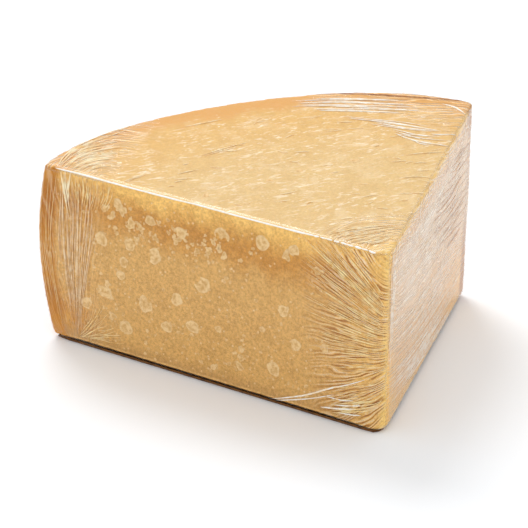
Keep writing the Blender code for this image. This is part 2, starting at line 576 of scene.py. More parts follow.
class PasteFinish(Finish):
    """A finish that knows where a place lies on the wedge."""

    def __init__(self, name):
        super().__init__(name)
        self.to_top = self.number("to_top")
        self.to_front = self.number("to_front")
        self.to_right = self.number("to_right")
        self.to_rim = self.number("to_rim")
        self.height = self.part(self.place, "Z")
        clouds = self.noise(70.0, 6.0, 0.72)
        self.wobble = self.spread(clouds, 0.25, 0.75, -4.5 * MM, 4.5 * MM)
        self.on_cut = self.band(self.to_top, 0.1, 0.8)
        self.on_right = self.band(self.to_right, 3, 0.8)


print("the top's straw yellow:", PASTE_TOP)

# %% [markdown]
# The colours are laid on in coats. The first holds the top and the cuts, with a light line
# where the film turns under the foot and below it a dark line of painted contact shadow. At the
# tip the paste is thin and lit through, and that light is painted into the colour.

# %% The first coat of the paste
def cut_colours(paint):
    depth = paint.math("ADD", paint.to_top, paint.wobble)
    # painted glow under the top edge, fading into the browner band
    cut = paint.blend(paint.band(depth, 1, 16), PAINTED_GLOW, PASTE_BROWN)
    cut = paint.blend(paint.band(depth, 15, 32), cut, PASTE_CUT)
    # painted shade, darker towards the foot
    cut = paint.blend(paint.band(paint.height, 9, 2), cut, PAINTED_FOOT_SHADE)
    by_top = paint.band(paint.to_top, 9, 0, 0.0, 0.9)
    # near its top edge the right cut takes the painted tip light
    cut = paint.blend(paint.on_right, cut, paint.blend(by_top, PASTE_RIGHT, PAINTED_TIP_LIGHT))
    off_right = paint.band(paint.to_right, 0.5, 2)
    over_line = paint.band(paint.height, 1.5, 2)
    under_line = paint.band(paint.height, 3, 2.3)
    light_line = paint.times(over_line, under_line, off_right, 0.7)
    cut = paint.blend(light_line, cut, FOOT_LIGHT)
    # painted contact shadow along the lowest band of the cuts
    painted_contact_line = paint.times(paint.band(paint.height, 1.7, 1.3), off_right)
    return paint.blend(painted_contact_line, cut, PAINTED_CONTACT_SHADOW)


def first_coat(paint):
    inner = paint.band(paint.to_rim, 12, 75)
    top = paint.blend(inner, PASTE_TOP_OUTER, PASTE_TOP)
    colour = paint.blend(paint.on_cut, top, cut_colours(paint))
    by_tip = paint.math("ADD", paint.to_front, paint.to_right)
    # painted glow where the thin paste near the tip is lit through
    colour = paint.blend(paint.band(by_tip, 24, 9, 0.0, 0.6), colour, PAINTED_GLOW)
    off_front = paint.band(paint.to_front, 2, 5)
    off_right = paint.band(paint.to_right, 0, 1.5)
    at_tip = paint.band(by_tip, 16, 11)
    # painted light on the tip's rounded edge
    return paint.blend(paint.times(off_front, off_right, at_tip, 0.8), colour, PAINTED_TIP_LIGHT)


print("first coat ready")

# %% [markdown]
# Over it lie soft patches and a fine mottle, pale streaks on the top, the rind, the smallest
# crystal specks, and last the thin lines of the film's creases: painted shade between them,
# and crests pale from the doubled film and partly from painted highlight.

# %% The further coats of the paste
def mottle_coat(paint, colour):
    """Soft patches everywhere, and a fine mottle that is strongest on the cuts."""
    patches = paint.spread(paint.noise(130.0, 3.0), 0.35, 0.7, 0.0, 0.5)
    shade = paint.blend(patches, (1.0, 1.0, 1.0, 1.0), (0.90, 0.86, 0.78, 1.0))
    colour = paint.blend(1.0, colour, shade, "MULTIPLY")
    fine = paint.spread(paint.noise(820.0, 3.0, 0.8), 0.28, 0.72)
    mottle = paint.blend(fine, (0.76, 0.71, 0.64, 1.0), (1.16, 1.17, 1.20, 1.0))
    mottled = paint.blend(1.0, colour, mottle, "MULTIPLY")
    return paint.blend(paint.spread(paint.on_cut, 0.0, 1.0, 0.4, 1.0), colour, mottled)


def streak_coat(paint, colour):
    """Pale clouds and streaks, only on the top."""
    on_the_top = paint.spread(paint.on_cut, 1.0, 0.0)
    pale = paint.spread(paint.noise(75.0, 4.0, 0.65, 0.6), 0.50, 0.68)
    colour = paint.blend(paint.times(pale, 0.18, on_the_top), colour, TOP_STREAK)
    turned = {"Vector": paint.place, "Rotation": (0.0, 0.0, STREAK_HEADING), "Scale": STREAK_SIZE}
    drawn_out = paint.add("Mapping", turned, vector_type="TEXTURE").outputs["Vector"]
    streaks = paint.spread(paint.noise(1.0, 3.0, 0.6, 1.4, drawn_out), 0.54, 0.70, 0.0, 0.8)
    sown = paint.spread(paint.noise(36.0, 2.0), 0.32, 0.52)
    return paint.blend(paint.times(streaks, sown, on_the_top), colour, TOP_STREAK)


def rind_coat(paint, colour):
    """Tan near the rim on the top, cloudy amber on the cut with a narrower border."""
    rind_depth = paint.math("ADD", paint.to_rim, paint.wobble)
    rind_on_top = paint.band(rind_depth, 19, 6, 0.0, 0.9)
    colour = paint.blend(rind_on_top, colour, paint.blend(paint.on_cut, RIND_TAN, colour))
    rind_edge = paint.math("ADD", paint.to_rim, paint.times(paint.wobble, 0.3))
    rind_on_cut = paint.times(paint.band(rind_edge, 10.6, 6.4), paint.on_cut)
    cloudy = paint.spread(paint.noise(34.0, 4.0, 0.6), 0.38, 0.62)
    return paint.blend(rind_on_cut, colour, paint.blend(cloudy, RIND_DEEP, RIND_AMBER))


def speck_coat(paint, colour):
    """Small pale specks in loose crowds, none on the rind."""
    specks = paint.add("TexVoronoi", {"Vector": paint.place, "Scale": 420.0})
    near = paint.spread(specks.outputs["Distance"], 0.30, 0.12)
    off_rind = paint.band(paint.to_rim, 6, 10)
    chosen = paint.add("SeparateColor", {0: specks.outputs["Color"]}).outputs["Red"]
    crowd = paint.noise(45.0, 2.0)
    kept = paint.math("GREATER_THAN", paint.math("ADD", chosen, crowd), 1.25)
    return paint.blend(paint.times(near, off_rind, kept, 0.6), colour, SPECK)


def crease_shade_and_highlight_coat(paint, colour):
    """Painted shade between creases, weaker on top and the right cut; crests partly painted highlight.
    """
    flow = paint.vector("flow")
    strength = paint.part(flow, "Z")
    wave, seen = crease_lines(paint, flow)
    off_right = paint.spread(paint.on_right, 0.0, 1.0, 1.0, 0.4)
    softer = paint.times(off_right, paint.spread(paint.on_cut, 0.0, 1.0, 0.35, 1.0))
    # painted shade in the grooves between the creases
    dark = paint.times(paint.spread(wave, 0.0, -0.9), seen, strength, softer, 0.9)
    colour = paint.blend(dark, colour, PAINTED_CREASE_SHADE)
    # pale crests: the doubled film, partly painted highlight
    light = paint.times(paint.spread(wave, 0.3, 0.95), seen, strength, 0.65)
    return paint.blend(light, colour, CREST_PALE_AND_HIGHLIGHT)


FURTHER_COATS = (mottle_coat, streak_coat, rind_coat, speck_coat, crease_shade_and_highlight_coat)
print("further coats:", len(FURTHER_COATS))

# %% [markdown]
# The coats go on in their order, over a fine bump and a little light that seeps through the
# paste. Then the cheese is told which body it rides, and which solid it replaces.

# %% The finish of the paste
def paste_finish():
    paint = PasteFinish("aged paste")
    colour = first_coat(paint)
    for coat in FURTHER_COATS:
        colour = coat(paint, colour)
    grain = paint.noise(900.0, 3.0, 0.7)
    shader = paint.principled({
        "Base Color": colour,
        "Roughness": 0.55,
        "Specular IOR Level": 0.1,
        "Normal": paint.bumped(grain, 0.25, 0.3 * MM),
        "Subsurface Weight": 0.05,
        "Subsurface Radius": (1.0, 0.45, 0.15),
        "Subsurface Scale": 4.0 * MM,
    })
    return paint.finish(shader)


cheese.data.materials.append(paste_finish())
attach(cheese, "root")
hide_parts("cheese_wedge")
print("paste wired with", len(cheese.data.materials[0].node_tree.nodes), "nodes")

# %% [markdown]
# The film is a copy of the same form, left at full size. Its mesh is rippled along the flow of
# the creases: waves across the flow, slowly changing along it. The mesh carries the broad
# creases, and the bump of its finish the fine ones.

# %% The film
RIPPLE_HEIGHT = 0.13 * MM
RIPPLE_WIDTH = 3.6
RIPPLE_LENGTH = 34.0

film = copy_of(form, "film")
level = np.zeros(len(flow_along))
stretched = np.stack([flow_across / RIPPLE_WIDTH, flow_along / RIPPLE_LENGTH, level], axis=1)
ripples = smooth_noise(stretched, 1.0, 21) * flow_strength
slack = smooth_noise(form_points, 14.0 * MM, 22) * 0.25
on_foot = fade(form_points[:, 2] / MM, 0.5, 3.0)
move_along_normals(film, (ripples + slack) * RIPPLE_HEIGHT * (1.0 - on_foot))
bpy.ops.object.shade_smooth()
print("ripples, mm:", round(float(np.abs(ripples).max() * RIPPLE_HEIGHT / MM), 2))

# %% [markdown]
# Clear film has hardly a colour of its own. What shows is its gloss, which grows where it is
# seen at a slant, and a whitish haze where it is creased or lies double; on the crests that
# haze is partly painted highlight. The even white veil on the right cut is painted reflection
# of the bright floor. The gloss is mixed in by Layer Weight's Facing to the fifth power, the
# usual short form of how a clear surface reflects. Light passes through the rest, so the
# cheese below stays bright.

# %% The finish of the film
HAZE_WHITE = screen(255, 234, 207)
HEAD_ON_GLOSS = 0.035
# painted reflection of the bright floor over the right cut
PAINTED_REFLECTION_VEIL = 0.5
# white crest haze of the doubled film, partly painted highlight
CREST_HAZE_AND_HIGHLIGHT = 0.4


def painted_reflection_share(paint, rise):
    """Painted reflection on the right cut, weaker at its foot, top edge, tip and upper back corner."""
    over_right = paint.band(paint.number("to_right"), 4, 0.2)
    above_foot = paint.band(rise, 12, 54)
    by_rim = paint.band(paint.number("to_rim"), 14, 3)
    back_corner = paint.times(by_rim, paint.band(rise, 45, 80))
    below_top = paint.band(paint.number("to_top"), 2, 15, 0.15, 1.0)
    past_tip = paint.band(paint.number("to_front"), 3, 24, 0.35, 1.0)
    patchy = paint.spread(paint.noise(38.0, 3.0), 0.3, 0.65, 0.55, 1.0)
    off_corner = paint.spread(back_corner, 0.0, 1.0, 1.0, 0.35)
    return paint.times(over_right, above_foot, below_top, past_tip, off_corner, patchy, PAINTED_REFLECTION_VEIL)


def film_finish():
    paint = Finish("clear film")
    flow = paint.vector("flow")
    strength = paint.part(flow, "Z")
    wave, seen = crease_lines(paint, flow)
    ridge = paint.times(paint.spread(wave, -0.6, 1.0), seen)
    slack = paint.noise(160.0, 3.0, 0.5, 0.6)
    height = paint.math("ADD", paint.times(ridge, strength, 0.5), paint.times(slack, 0.12))
    normal = paint.bumped(height, 0.9, 0.6 * MM)

    facing = paint.add("LayerWeight", {"Blend": 0.5, "Normal": normal}).outputs["Facing"]
    slant = paint.times(paint.math("POWER", facing, 5.0), 1.0 - HEAD_ON_GLOSS)
    rise = paint.part(paint.place, "Z")
    off_foot = paint.band(rise, 0.8, 3)
    gloss_share = paint.times(paint.math("ADD", slant, HEAD_ON_GLOSS), off_foot)
    gloss = paint.add("BsdfGlossy", {"Roughness": 0.14, "Normal": normal}).outputs[0]
    clear = paint.add("BsdfTransparent").outputs[0]
    shine = paint.add("MixShader", {0: gloss_share, 1: clear, 2: gloss}).outputs[0]

    crests = paint.times(paint.spread(wave, 0.5, 0.95), seen)
    broken = paint.spread(paint.noise(90.0, 2.0), 0.36, 0.6, 0.15, 1.0)
    streaks = paint.times(crests, broken, strength, CREST_HAZE_AND_HIGHLIGHT)
    haze = paint.math("ADD", streaks, painted_reflection_share(paint, rise))
    # one white shader for crest haze, partly painted highlight, and the painted reflection
    haze_and_reflection = paint.principled({"Base Color": HAZE_WHITE, "Roughness": 0.35, "Normal": normal})
    shader = paint.add("MixShader", {0: haze, 1: shine, 2: haze_and_reflection})
    return paint.finish(shader.outputs[0])


film.data.materials.append(film_finish())
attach(film, "root")
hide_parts("cheese_wedge")
print("film material:", film.data.materials[0].name)

# %% [markdown]
# The creases that stand out most are modelled too, as thin beads half sunk in the film. Each
# one is a spline of a curve object: the bevel gives it a round section, and the radius at
# each point lets it taper at both ends. Fans are drawn between a few given guide lines: a
# seeded draw puts the creases between them, each with its own start, end and small sway. At
# the end the curve becomes a mesh.

# %% Beads for the sharp creases
CREASE_POINTS = 12
BEAD_SUNK = 0.5
draw = np.random.default_rng(5)


def smooth_line(guide, share):
    """A place at a share of the way along a line through a guide's points, without corners."""
    run = share * (len(guide) - 1)
    step = min(int(run), len(guide) - 2)
    part = run - step
    before = guide[max(step - 1, 0)]
    start, end = guide[step], guide[step + 1]
    after = guide[min(step + 2, len(guide) - 1)]
    bend_in = (end - before) * 0.5
    bend_out = (after - start) * 0.5
    part2, part3 = part * part, part * part * part
    return (
        start * (2 * part3 - 3 * part2 + 1)
        + bend_in * (part3 - 2 * part2 + part)
        + end * (3 * part2 - 2 * part3)
        + bend_out * (part3 - part2)
    )


def fan(guides, count, least_share=0.35, sway=0.35):
    """Creases between neighbouring guides, each a list of places on the face."""
    guides = [np.array(guide, dtype=float) for guide in guides]
    creases = []
    for number in range(count):
        between = (number + draw.uniform(0.1, 0.9)) / count * (len(guides) - 1)
        index = int(between)
        guide = guides[index] + (guides[index + 1] - guides[index]) * (between - index)
        length = draw.uniform(least_share, 1.0)
        start = draw.uniform(0.0, 1.0 - length)
        phase = draw.uniform(0.0, math.tau)
        crease = []
        for i in range(CREASE_POINTS):
            share = i / (CREASE_POINTS - 1)
            place = smooth_line(guide, start + length * share)
            swing = sway * math.sin(phase + share * 5.0)
            crease.append(place + np.array([swing, swing]))
        creases.append(crease)
    return creases


def single(*places):
    """One crease through places chosen by hand."""
    guide = np.array(places, dtype=float)
    return [smooth_line(guide, i / (CREASE_POINTS - 1)) for i in range(CREASE_POINTS)]


def singles(place_on, lines):
    """A bed for each line, which gives its bead's radius and the places it runs through."""
    return [(place_on, [single(*places)], radius, radius) for radius, *places in lines]


def lay_on_film(place, depth):
    _, nearest, normal, _ = film.closest_point_on_mesh(place)
    return nearest - normal * depth


def bead_curve(name):
    """An empty curve, whose splines become beads as thick as their radius in millimetres."""
    curve = bpy.data.curves.new(name, "CURVE")
    curve.dimensions = "3D"
    curve.bevel_depth = MM
    curve.bevel_resolution = 1
    return curve


def mesh_from(curve, material):
    piece = bpy.data.objects.new(curve.name, curve)
    bpy.context.collection.objects.link(piece)
    only(piece)
    bpy.ops.object.convert(target="MESH")
    piece = bpy.context.active_object
    bpy.ops.object.shade_smooth()
    piece.data.materials.clear()
    piece.data.materials.append(material)
    return piece


def crease_piece(name, beds, material):
    """One piece of many creases. A bed is a place function, creases and a radius range."""
    curve = bead_curve(name)
    for place_on, creases, thinnest, thickest in beds:
        for crease in creases:
            radius = draw.uniform(thinnest, thickest)
            spline = curve.splines.new("POLY")
            spline.points.add(len(crease) - 1)
            for i, (point, place) in enumerate(zip(spline.points, crease)):
                share = i / (len(crease) - 1)
                point.radius = radius * (0.08 + 0.92 * math.sin(math.pi * share) ** 0.7)
                point.co = (*lay_on_film(place_on(*place), point.radius * BEAD_SUNK * MM), 1.0)
    piece = mesh_from(curve, material)
    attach(piece, "root")
    print(name, "faces:", len(piece.data.polygons))


print("points along a crease:", CREASE_POINTS)

# %% [markdown]
# A crease is film lying double or triple, so it looks whiter and less clear than the rest,
# with a sharp shine. See-through beads would show their unlit insides as grey, so they are
# opaque, and a noise along them changes from the paste's own colour to the light of the crest.

# %% The finish of the creases
def crease_finish(name, hidden, crest):
    paint = Finish(name)
    share = paint.spread(paint.noise(320.0, 2.0), 0.30, 0.62)
    colour = paint.blend(share, screen(*hidden), screen(*crest))
    shader = {"Base Color": colour, "Roughness": 0.3, "Specular IOR Level": 0.25}
    return paint.finish(paint.principled(shader))


front_crease = crease_finish("creases over the cut", (238, 192, 112), (255, 232, 174))
strand_crease = crease_finish("strands beside the rind", (228, 186, 128), (250, 224, 182))
top_crease = crease_finish("creases over the top", (249, 214, 150), (255, 241, 204))
side_crease = crease_finish("creases over the right cut", (242, 214, 180), (255, 246, 232))
# white of the doubled film, partly painted highlight
white_fold_and_highlight = crease_finish("white folds with painted highlight", (248, 226, 188), (255, 252, 244))
# painted highlight along the front's top edge
painted_edge_highlight = crease_finish("painted edge highlight", (255, 246, 226), (255, 254, 250))
# painted shade: dark creases standing for shadowed grooves
painted_shade_crease = crease_finish("creases with painted shade", (166, 106, 58), (206, 156, 112))
rim_crease = crease_finish("creases over the rind", (206, 146, 66), (238, 192, 124))
# painted contact shadow: a dark bead where there is only shade under the foot
contact_shadow_finish = crease_finish("painted contact shadow", (84, 48, 12), (124, 80, 32))
print("nine crease finishes")

# %% [markdown]
# On the front cut, creases run into the tip's edge from the left, steeply near the top and
# level lower down. At the other end, strands hang from the upper left corner and gather near
# the foot, a few lines run over the rind, and short combs hang from the top edge.

# %% Guides of the front cut
TIP_FAN = [
    [(43, 86), (25, 75), (8, 65), (-1, 59)],
    [(46, 78), (22, 66), (8, 59), (-1, 54)],
    [(45, 66.5), (22, 58.5), (8, 53.5), (-1, 50)],
    [(44, 54), (22, 50), (8, 48), (-1, 46.8)],
    [(42, 43.4), (21, 43), (8, 43), (-1, 43)],
    [(34, 34.5), (18, 36), (8, 37.5), (-1, 38.6)],
    [(28, 20), (16, 24), (8, 27.5), (-1, 31)],
]
STEEP_FAN = [
    [(48, 86.5), (36, 79), (22, 69), (6, 58), (-1, 53)],
    [(34, 86.5), (25, 80), (14, 71), (5, 63), (-1, 58)],
    [(20, 86.5), (14, 80), (8, 74), (3, 68), (-1, 64)],
]
FOOT_FAN = [
    [(30, 14), (18, 19), (8, 23.5), (-1, 27)],
    [(30, 4.2), (18, 9.5), (8, 14.5), (-1, 19)],
    [(26, 2.5), (17, 5), (9, 8.5), (-1, 13)],
]
STRANDS = [
    [(171, 83), (172, 45), (166, 4)],
    [(168, 83), (166, 45), (163.5, 4)],
    [(160, 82), (161, 45), (162, 4)],
    [(149, 80), (155, 45), (161, 4)],
]
RIND_LINES = [
    [(180, 82), (183, 50), (177, 12)],
    [(173, 82), (176, 45), (170, 6)],
]
EDGE_COMB = [
    [(165, 84), (164, 77), (162, 70)],
    [(154, 84), (154, 77), (156, 68)],
    [(141, 84), (143, 78), (147, 70)],
]
CORNER_SPRAY = [
    [(161, 3), (156, 12), (152, 24)],
    [(161, 3), (150, 10), (141, 17)],
    [(161, 3), (148, 4.5), (134, 6)],
]
CORNER_GATHER = [
    [(172, 84.6), (170.6, 79), (168, 68), (165.4, 54)],
    [(169, 84.6), (168.6, 80), (167.4, 74), (166, 66)],
    [(164, 84.6), (165.4, 81), (166.4, 77), (166.8, 72)],
]
front_beds = [
    (on_front, fan(TIP_FAN, 46), 0.12, 0.27),
    (on_front, fan(STEEP_FAN, 16), 0.12, 0.25),
    (on_front, fan(FOOT_FAN, 18), 0.12, 0.28),
    (on_front, fan(RIND_LINES, 7, 0.4), 0.10, 0.16),
    (on_front, fan(EDGE_COMB, 22, 0.5), 0.10, 0.24),
    (on_front, fan(CORNER_SPRAY, 18, 0.4), 0.10, 0.24),
]
print("beds of the front cut:", len(front_beds))

# %% [markdown]
# Along the front's top edge the film shines as a bright line, and that highlight is painted
# here as white beads: overlapping runs from the left, and short glints that follow each other
# towards the tip.

# %% The painted highlight along the top edge of the front cut
EDGE_RUNS = [(174, 160), (172, 140), (160, 118), (138, 92), (112, 66), (84, 44), (58, 36)]
EDGE_GLINTS = [39, 35.5, 32.5, 28.5, 25, 22, 18, 14.5, 11]
edge_beds = [
    (on_top, [single((-start, 0.2), (-(start + end) / 2, 0.2), (-end, 0.2))], 0.38, 0.48)
    for start, end in EDGE_RUNS
]
for start in EDGE_GLINTS:
    length = draw.uniform(2.6, 4.4)
    glint = single((-start, 0.3), (-start + 1.5, 0.1), (-start + length, 0.3))
    edge_beds.append((on_top, [glint], 0.35, 0.55))
crease_piece("edge_highlight_front", edge_beds, painted_edge_highlight)

# %% [markdown]
# The rest follows piece by piece. The bold folds were noted one by one: the long one rises
# from the foot to the tip, and the others lie in the corner below it. Their white is partly the
# doubled film and partly painted highlight.

# %% Creases of the front cut
FRONT_FOLDS = [
    (0.42, (58, 1.2), (50, 4.2), (40, 8.4), (28, 15.2), (20, 19), (10.4, 24.4)),
    (0.3, (56, 1.0), (48, 3.6), (38, 7.2), (26, 12.6)),
    (0.45, (33, 4.5), (24, 6.2), (14, 8.8)),
    (0.4, (26, 7.5), (18, 9.4), (11, 11.5)),
    (0.3, (30, 10.5), (22, 11.0), (16, 12.6)),
    (0.3, (24, 4.4), (17, 5.2), (12, 6.4)),
]
crease_piece("creases_front", front_beds, front_crease)
gather_bed = (on_front, fan(CORNER_GATHER, 9, 0.45, 0.2), 0.16, 0.36)
crease_piece("gather_front", [gather_bed], top_crease)
strand_bed = (on_front, fan(STRANDS, 19, 0.35, 0.4), 0.12, 0.27)
crease_piece("strands_front", [strand_bed], strand_crease)
crease_piece("folds_front", singles(on_front, FRONT_FOLDS), white_fold_and_highlight)

# %% [markdown]
# On the top, fine arcs circle the upper left corner and others the tip. Long white folds lie
# along the rim at the back, their white partly painted highlight. Short faint dashes are
# scattered over the middle, where the film just touches the paste, and a few longer ones have
# their noted places.

# %% Creases of the top
CORNER_ARCS = [
    [(-173.6, 1.5), (-177.5, 15), (-175, 32), (-167, 55)],
    [(-170.5, 0.9), (-172, 13.5), (-168.6, 24.4), (-160, 36)],
    [(-166.2, 1), (-165.4, 9.3), (-161.8, 16.8), (-154, 21.4)],
    [(-158.6, 1.8), (-156.9, 7.2), (-153.5, 11.1), (-147, 12.4)],
]
TIP_ARCS = [
    [(-37, 2), (-27.8, 14.7), (-12.4, 27)],
    [(-25, 2), (-17, 11), (-9, 23)],
    [(-16, 2.5), (-10, 8), (-6, 17)],
]
BACK_FOLDS = [
    [(-118, 108), (-98, 120.5), (-70, 133.5)],
    [(-114, 102), (-90, 116), (-56, 131)],
    [(-104, 102), (-85, 112), (-60, 122)],
]
BACK_RIGHT_FOLDS = [
    [(-92, 104), (-66, 111.6), (-44, 114)],
    [(-66, 105), (-50, 105), (-32, 113)],
    [(-53, 99), (-42, 98), (-28, 98)],
]


TOP_DASHES = [
    (0.2, (-122.4, 40.2), (-117, 52), (-111, 62.6)),
    (0.16, (-121.0, 40.6), (-116.8, 49), (-112.6, 57)),
    (0.2, (-121.9, 20.5), (-119, 25), (-115.6, 28.8)),
    (0.2, (-145, 61), (-139, 69), (-133.3, 76.6)),
    (0.2, (-138.8, 3), (-136.5, 9), (-133.7, 14.1)),
    (0.16, (-137.8, 3.4), (-135.9, 8.4), (-134.0, 12.2)),
    (0.22, (-32.7, 64.2), (-27, 69), (-20.5, 71.3)),
    (0.22, (-42, 84.6), (-35, 91), (-27.3, 95.9)),
]
BACK_FOLD = [(0.45, (-53, 137.4), (-46, 137), (-38.5, 133.5))]


def in_the_middle(x, y):
    """True on the top's calm middle, which ends before the rim and the right cut."""
    return math.hypot(x + 62, (y - 40) * 1.1) <= 74 and y <= -3.2 * x


def dashes(count):
    """Short creases scattered over the middle of the top."""
    creases = []
    while len(creases) < count:
        x, y = draw.uniform(-140, -12), draw.uniform(6, 118)
        if not in_the_middle(x, y):
            continue
        length = draw.uniform(3.0, 9.0)
        heading = draw.normal(0.62, 0.3)
        bow = draw.normal(0.0, 0.8)
        across = np.array([-math.sin(heading), math.cos(heading)])
        start = np.array([x, y])
        end = start + np.array([math.cos(heading), math.sin(heading)]) * length
        creases.append(single(start, (start + end) / 2 + across * bow, end))
    return creases


top_beds = [
    (on_top, fan(CORNER_ARCS, 44, 0.2), 0.12, 0.28),
    (on_top, fan(TIP_ARCS, 20, 0.4), 0.10, 0.24),
    (on_top, dashes(50), 0.10, 0.20),
]
top_beds += singles(on_top, TOP_DASHES)
bold_top_beds = [
    (on_top, fan(BACK_FOLDS, 10, 0.35, 0.6), 0.2, 0.48),
    (on_top, fan(BACK_RIGHT_FOLDS, 12, 0.3, 0.6), 0.18, 0.42),
]
bold_top_beds += singles(on_top, BACK_FOLD)
crease_piece("creases_top", top_beds, top_crease)
crease_piece("folds_top", bold_top_beds, white_fold_and_highlight)

# %% [markdown]
# The right cut is crossed by many fine creases that fall a little towards the back, with a
# short comb under its top edge and a few upright ones beside the tip. Nearer the back some
# are darker, with painted shade for the shade in their grooves, and one such line runs high on
# the rim. Round the rim the film is gathered only loosely.

# %% Creases of the right cut and the rim
RIGHT_LINES = [
    [(4, 84), (60, 78), (142, 80)],
    [(4, 66), (60, 60), (146, 58)],
    [(4, 46), (60, 38), (146, 34)],
    [(4, 26), (60, 16), (144, 12)],
    [(4, 10), (60, 5), (130, 3)],
]
UPRIGHT_LINES = [
    [(6, 86), (6, 60), (5, 20)],
    [(14, 86), (11, 60), (9, 30)],
]
RIM_BOW = 36
left_corner = tip + Vector((-FRONT_CUT, 0.0, 0.0))
right_corner = tip + along_right * RIGHT_CUT


def on_rim(share, height):
    """A place outside the rim: share 0 is the right corner and 100 the left one."""
    chord = right_corner.lerp(left_corner, share / 100)
    across = right_corner - left_corner
    outward = Vector((-across.y, across.x, 0.0)).normalized()
    bow = RIM_BOW * math.sin(math.pi * share / 100)
    return chord + (outward * bow + Vector((0.0, 0.0, height))) * MM


RIM_LINES = [
    [(2, 92), (3, 50), (2, 6)],
    [(12, 90), (10, 50), (13, 6)],
    [(34, 88), (36, 50), (33, 6)],
    [(64, 86), (62, 50), (65, 6)],
    [(98, 82), (96, 45), (97, 6)],
]
RIGHT_COMB = [
    [(6, 88), (7, 82), (6, 74)],
    [(60, 91), (58, 84), (54, 76)],
    [(148, 95.5), (146, 88), (142, 78)],
]
PAINTED_SHADE_LINES = [
    [(100, 88), (126, 82), (148, 80)],
    [(70, 66), (104, 60), (146, 60)],
    [(92, 44), (118, 40), (148, 34)],
]
side_beds = [
    (on_right, fan(RIGHT_LINES, 120, 0.12, 0.5), 0.10, 0.20),
    (on_right, fan(RIGHT_COMB, 26, 0.4, 0.3), 0.10, 0.20),
    (on_right, fan(UPRIGHT_LINES, 9, 0.35), 0.10, 0.18),
]
rim_beds = [(on_rim, fan(RIM_LINES, 64, 0.15, 0.5), 0.08, 0.18)]
crease_piece("creases_side", side_beds, side_crease)
crease_piece("creases_rim", rim_beds, rim_crease)
# painted shade on creases near the back of the right cut and one high on the rim
painted_shade_beds = [(on_right, fan(PAINTED_SHADE_LINES, 20, 0.35, 0.5), 0.16, 0.32)]
painted_shade_beds += singles(on_rim, [(0.35, (1, 95), (12, 94), (24, 93), (40, 91))])
crease_piece("creases_painted_shade", painted_shade_beds, painted_shade_crease)

# %% [markdown]
# Under the foot a dark bead stands above the floor as painted contact shadow: a dark sheet put
# where there is only shade. It is a bead too, one closed spline a little inside the outline,
# thickest under the front cut.

# %% The painted contact shadow under the foot
FOOT_STEPS = 160
FRONT_RADIUS, REST_RADIUS = 0.62, 0.34
FRONT_INSET, REST_INSET = 1.5, 2.4
RAY_START = 0.3
HEART = tip + Vector((-80.0, 50.0, 1.5)) * MM

contact_shadow_curve = bead_curve("contact_shadow_bead")
spline = contact_shadow_curve.splines.new("POLY")
spline.points.add(FOOT_STEPS - 1)
spline.use_cyclic_u = True
for i, point in enumerate(spline.points):
    angle = math.tau * i / FOOT_STEPS
    outward = Vector((math.cos(angle), math.sin(angle), 0.0))
    _, hit, normal, _ = form.ray_cast(HEART + outward * RAY_START, -outward)
    in_front = normal.y < -0.8
    radius = FRONT_RADIUS if in_front else REST_RADIUS
    place = hit - normal * (FRONT_INSET if in_front else REST_INSET) * MM
    point.co = (place.x, place.y, radius * MM - FLOOR_DROP, 1.0)
    point.radius = radius
contact_shadow_bead = mesh_from(contact_shadow_curve, contact_shadow_finish)
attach(contact_shadow_bead, "root")
print("foot edge faces:", len(contact_shadow_bead.data.polygons))

# %% [markdown]
# Aged cheese holds pale round clusters of crystals, each with a lighter brim. One is modelled
# as by hand: a flat disc, inset twice, with its middle sunk and its brim raised. It is then
# copied to each place, and every copy's outline is made uneven. The clusters that show best
# were noted with their radii, and so were the ragged crumbs of the flaky band. A seeded draw
# adds many small ones: all over the front, along that band, and lower down.

# %% Crystals in the paste
CRYSTALS_FRONT = [
    (148.9, 55.2, 3.4), (133.3, 56.9, 3.0), (121.1, 54.3, 4.0), (95.6, 47.3, 4.2), (125.3, 29.3, 4.0),
    (108.7, 36.3, 3.1), (136.3, 46.9, 2.8), (138.4, 40.0, 2.4), (146.7, 28.9, 3.4), (135.6, 14.5, 3.6),
    (113.7, 21.3, 3.0), (100.2, 25.2, 3.2), (85.3, 73.7, 4.0), (107.3, 69.1, 3.2), (140.8, 74.6, 3.2),
    (64.4, 75.8, 3.6), (48.1, 76.3, 3.0), (53.2, 45.9, 3.0), (47.1, 30.8, 3.1), (57.5, 16.0, 3.4),
    (31.7, 33.7, 2.2), (156.4, 21.0, 3.2), (86.5, 27.6, 1.8), (74.8, 20.9, 1.6), (88.9, 8.0, 1.5),
    (36.6, 69.7, 2.0), (63.6, 34.0, 1.5), (122.7, 71.0, 2.6),
]
CRYSTALS_TOP = [
    (-82.3, 35.2, 1.8), (-59.2, 69.8, 2.0), (-75.7, 49.8, 1.6), (-99.3, 9.3, 1.8), (-118.0, 84.0, 2.0),
]
CRUMBS = [
    (147.0, 70.5, 2.6), (143.5, 68.6, 2.2), (137.5, 72.5, 2.4), (133.0, 67.4, 2.6), (128.0, 66.6, 2.0),
    (120.0, 63.5, 1.8), (109.0, 65.0, 2.0), (98.0, 63.0, 1.8), (92.0, 64.8, 2.2), (87.0, 67.5, 2.2),
    (84.0, 64.0, 2.0), (141.0, 60.5, 1.4), (130.0, 60.0, 1.8), (146.0, 34.0, 2.0), (150.0, 30.0, 1.8),
    (143.0, 18.5, 2.2), (75.0, 12.0, 2.2), (74.6, 17.0, 1.8), (74.2, 21.5, 1.4), (52.0, 73.0, 2.4),
]
BRIM_SIDES = 18
BRIM_RADIUS = 0.82
NOTED_SCALE = 1.1
CRUMB_UNEVENNESS = 3.2
SUNK = 0.30 * MM
CRYSTAL_DIP = 0.04 * MM
BRIM_RISE = 0.15 * MM


